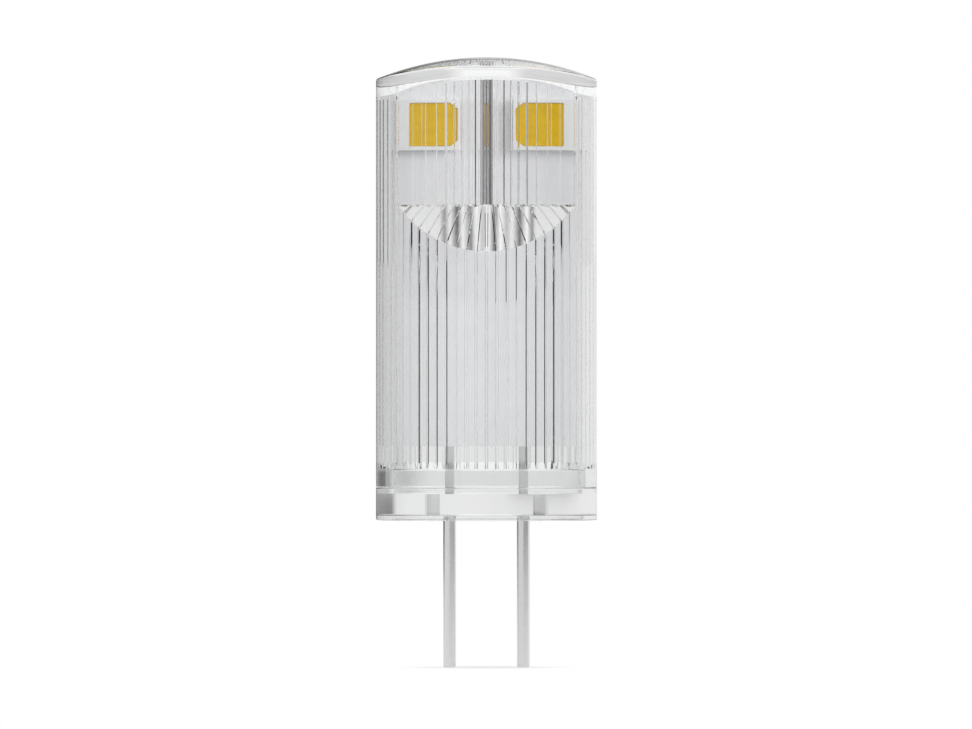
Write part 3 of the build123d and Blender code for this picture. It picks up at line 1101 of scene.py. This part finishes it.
class BULB_OT_stage(bpy.types.Operator):
    """Add the camera, the floor, the lamps and the white surroundings"""

    bl_idname = "capsule_bulb.stage"
    bl_label = "Stage"

    def execute(self, context):
        settings = context.scene.capsule_bulb.stage
        self.add_camera(context, settings)
        self.add_floor(settings)
        self.add_lamps()
        self.light_world(context)
        context.scene.view_settings.view_transform = "Standard"
        return {"FINISHED"}

    def add_camera(self, context, settings):
        """Camera that looks along +Y, placed by the photograph's frame."""
        data = bpy.data.cameras.new("camera")
        camera = put("camera", data)
        context.scene.camera = camera
        half_width = PICTURE_WIDTH / PIXELS_PER_METRE / 2
        data.lens = data.sensor_width / 2 * settings.camera_distance / half_width
        aside = (PICTURE_WIDTH / 2 - AXIS_PIXEL) / PIXELS_PER_METRE
        height = (BASE_PIXEL - PICTURE_HEIGHT / 2) / PIXELS_PER_METRE
        camera.location = (aside, -settings.camera_distance, height)
        camera.rotation_euler = (math.pi / 2, 0.0, 0.0)
        data.clip_start = 0.01
        data.clip_end = 10.0

    def add_floor(self, settings):
        """Pale round floor under the pins' tips that turns white away from them."""
        level = CAD_BOX[0].z
        size = 96
        rings = turned([(settings.floor_radius * part, level) for part in (0.02, 0.1, 0.3, 0.6, 1.0)], size)
        vertices = [point for ring in rings for point in ring]
        faces = ring_faces(len(rings), size, 0)
        vertices.append(Vector((0.0, 0.0, level)))
        faces += [((index + 1) % size, index, len(vertices) - 1) for index in range(size)]
        mesh = smooth_mesh("floor", vertices, faces, 30.0)
        if mesh.polygons[0].normal.z < 0:
            mesh.flip_normals()
        floor = put("floor", mesh)
        mesh.materials.append(self.floor_finish(settings))

    def floor_finish(self, settings):
        """Matt pale floor near the pins, plain white for the camera further out."""
        material, tree, shader = new_finish("pale_floor")
        tone = shades(tree, pattern(tree, 60.0), settings.floor, 0.01)
        fill(tree, shader, {"Roughness": 0.8, "Base Color": tone})
        across, along, _ = split(tree, "Object")
        across_squared = reckon(tree, "MULTIPLY", across, across)
        distance = reckon(tree, "SQRT", reckon(tree, "MULTIPLY_ADD", along, along, across_squared))
        fade = remap(tree, distance, 0.0, settings.clear_floor, 0.45, 1.0, "SMOOTHSTEP")
        path = tree.nodes.new("ShaderNodeLightPath")
        seen = path.outputs["Is Camera Ray"]
        for ray in ("Is Glossy Ray", "Is Transmission Ray"):
            seen = reckon(tree, "MAXIMUM", seen, path.outputs[ray])
        white = tree.nodes.new("ShaderNodeEmission")
        factor = reckon(tree, "MULTIPLY", fade, seen)
        mix_shaders(tree, factor, shader.outputs["BSDF"], white.outputs["Emission"])
        return material

    def add_lamps(self):
        """Large soft lamps: right of the camera, left of it and above."""
        for name, place, size, power in (
            ("right_lamp", (0.42, -0.38, 0.2), 0.3, 1.7),
            ("left_lamp", (-0.45, -0.35, 0.1), 0.3, 0.8),
            ("top_lamp", (0.0, -0.1, 0.5), 0.3, 0.9),
        ):
            data = bpy.data.lights.new(name, "AREA")
            data.size = size
            data.energy = power
            lamp = put(name, data)
            lamp.visible_glossy = False
            lamp.visible_transmission = False
            lamp.location = place
            aim = Vector((0.0, 0.0, 10 * MM)) - Vector(place)
            lamp.rotation_euler = aim.to_track_quat("-Z", "Y").to_euler()

    def light_world(self, context):
        """White to the camera, a plain level on the object, and a studio's tones in glass and metal."""
        world = bpy.data.worlds.new("studio")
        context.scene.world = world
        world.use_nodes = True
        tree = world.node_tree
        tree.nodes.clear()
        right, ahead, up = split(tree, "Generated")
        turn = reckon(tree, "ARCTAN2", right, ahead)
        around = self.layers(tree, turn, up, LEVEL_TONES)
        overhead = self.tones(tree, right, 1.0, OVERHEAD_TONES)
        steep = remap(tree, reckon(tree, "ABSOLUTE", up), *STEEP_SLOPES)
        studio = blend(tree, steep, around, overhead)
        path = tree.nodes.new("ShaderNodeLightPath")
        shown = (0.45, 0.45, 0.46, 1.0)
        for ray, tone in (
            ("Is Glossy Ray", self.layers(tree, turn, up, GLOSSY_TONES)),
            ("Is Transmission Ray", studio),
            ("Is Camera Ray", (1.0, 1.0, 1.0, 1.0)),
        ):
            shown = blend(tree, path.outputs[ray], shown, tone)
        background = add_node(tree, "ShaderNodeBackground", {"Color": shown})
        add_node(tree, "ShaderNodeOutputWorld", {"Surface": background.outputs["Background"]})

    def layers(self, tree, turn, rise, levels):
        """A tone that follows the turn, by the list for the level that the rise has reached."""
        lowest, *others = levels
        tone = self.tones(tree, turn, math.pi, lowest[1])
        for slope, stops in others:
            above = remap(tree, rise, slope - LEVEL_BLUR, slope + LEVEL_BLUR)
            tone = blend(tree, above, tone, self.tones(tree, turn, math.pi, stops))
        return tone

    def tones(self, tree, value, reach, stops):
        """A grey tone that follows a value between -reach and reach through stops from -1 to 1."""
        ramp = add_node(tree, "ShaderNodeValToRGB", {"Fac": remap(tree, value, -reach, reach)})
        elements = ramp.color_ramp.elements
        elements[0].position = 0.0
        elements[1].position = 1.0
        for position, _ in stops[1:-1]:
            elements.new((position + 1) / 2)
        for element, (_, tone) in zip(elements, stops):
            element.color = (tone, tone, tone, 1.0)
        return ramp.outputs["Color"]


class BULB_PT_panel(bpy.types.Panel):
    """Sidebar panel with the bulb's sizes, colours and operators"""

    bl_label = "Capsule Bulb"
    bl_idname = "BULB_PT_panel"
    bl_space_type = "VIEW_3D"
    bl_region_type = "UI"
    bl_category = "Bulb"

    def draw(self, context):
        settings = context.scene.capsule_bulb
        for group_name in BulbSettings.__annotations__:
            group = getattr(settings, group_name)
            box = self.layout.box()
            box.label(text=group_name.capitalize())
            for name in group.__annotations__:
                box.prop(group, name)
        for operator in OPERATORS:
            self.layout.operator(operator.bl_idname)


OPERATORS = (
    BULB_OT_stage,
    BULB_OT_board,
    BULB_OT_diodes,
    BULB_OT_driver,
    BULB_OT_pins,
    BULB_OT_solder,
    BULB_OT_plug,
    BULB_OT_housing,
)

CLASSES = (
    HousingSizes,
    PlugSizes,
    PinSizes,
    DiodeSizes,
    BoardSizes,
    Finishes,
    StageSettings,
    BulbSettings,
    *OPERATORS,
    BULB_PT_panel,
)


def register():
    for item in CLASSES:
        bpy.utils.register_class(item)
    bpy.types.Scene.capsule_bulb = bpy.props.PointerProperty(type=BulbSettings)


def unregister():
    del bpy.types.Scene.capsule_bulb
    for item in reversed(CLASSES):
        bpy.utils.unregister_class(item)


def main():
    """Builds the whole picture."""
    register()
    for operator in OPERATORS:
        family, name = operator.bl_idname.split(".")
        getattr(getattr(bpy.ops, family), name)()


if __name__ == "__main__":
    main()
